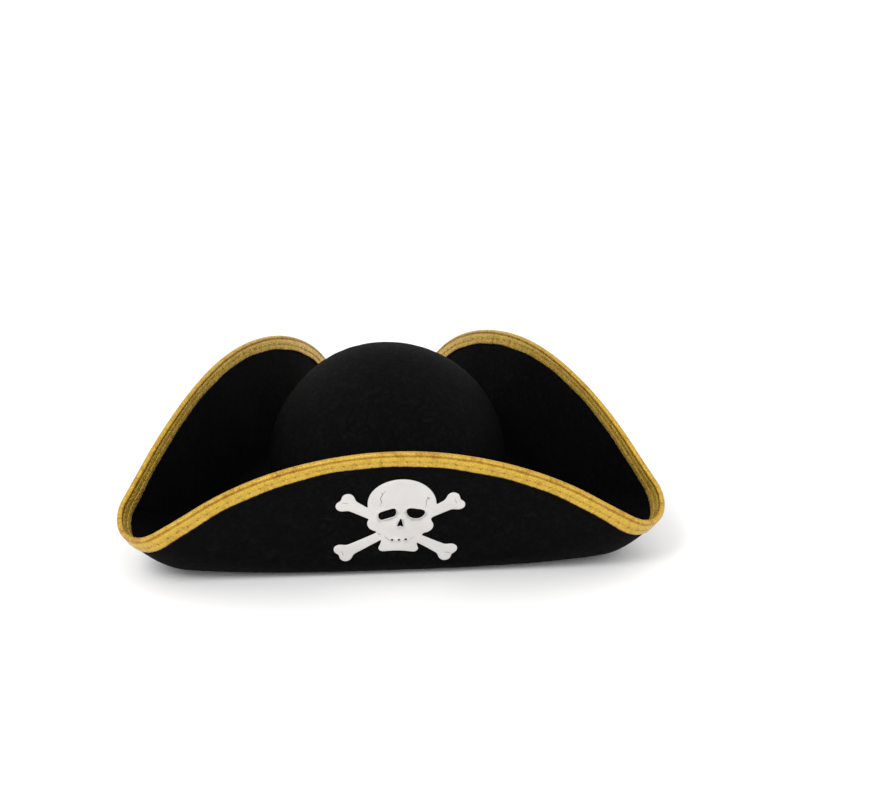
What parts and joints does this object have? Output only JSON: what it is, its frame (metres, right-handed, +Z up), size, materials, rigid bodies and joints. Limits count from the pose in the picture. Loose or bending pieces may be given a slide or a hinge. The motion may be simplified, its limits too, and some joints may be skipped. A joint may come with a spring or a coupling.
{
  "type": "pirate hat",
  "caption": "Black felt tricorn costume hat with three turned-up flaps, gold edge binding, a skull-and-crossbones badge and a ribbon sweatband.",
  "frame": {"origin": "on the surface the hat rests on, under the middle of its bounding box", "axes": "+Z up through the crown, -Y the way the wearer faces (the badge's side), +X the wearer's left"},
  "size_m": [0.3822, 0.3768, 0.125],
  "materials": {
    "felt": "stiffened non-woven polyester felt, matte black",
    "gold_tape": "woven metallic gold tape, shiny",
    "gold_thread": "gold polyester sewing thread",
    "badge": "matte white die-cut sheet with grey printed cracks",
    "ribbon": "ribbed black ribbon",
    "black_thread": "black polyester sewing thread",
    "label": "blank white satin"
  },
  "bodies": {
    "hat": {"felt_hood": "felt", "edge_binding": "gold_tape", "binding_needle_thread": "gold_thread", "binding_bobbin_thread": "gold_thread", "skull_badge": "badge", "sweatband": "ribbon", "sweatband_needle_thread": "black_thread", "sweatband_bobbin_thread": "black_thread", "label_stitching": "black_thread"},
    "care_label": {"care_label": "label"}
  },
  "joints": [
    {"name": "label_flip", "type": "hinge", "parent": "hat", "child": "care_label", "pos_m": [0, 0.06029, 0.028], "axis": [-1, 0, 0], "range_deg": [0, 150]}
  ]
}
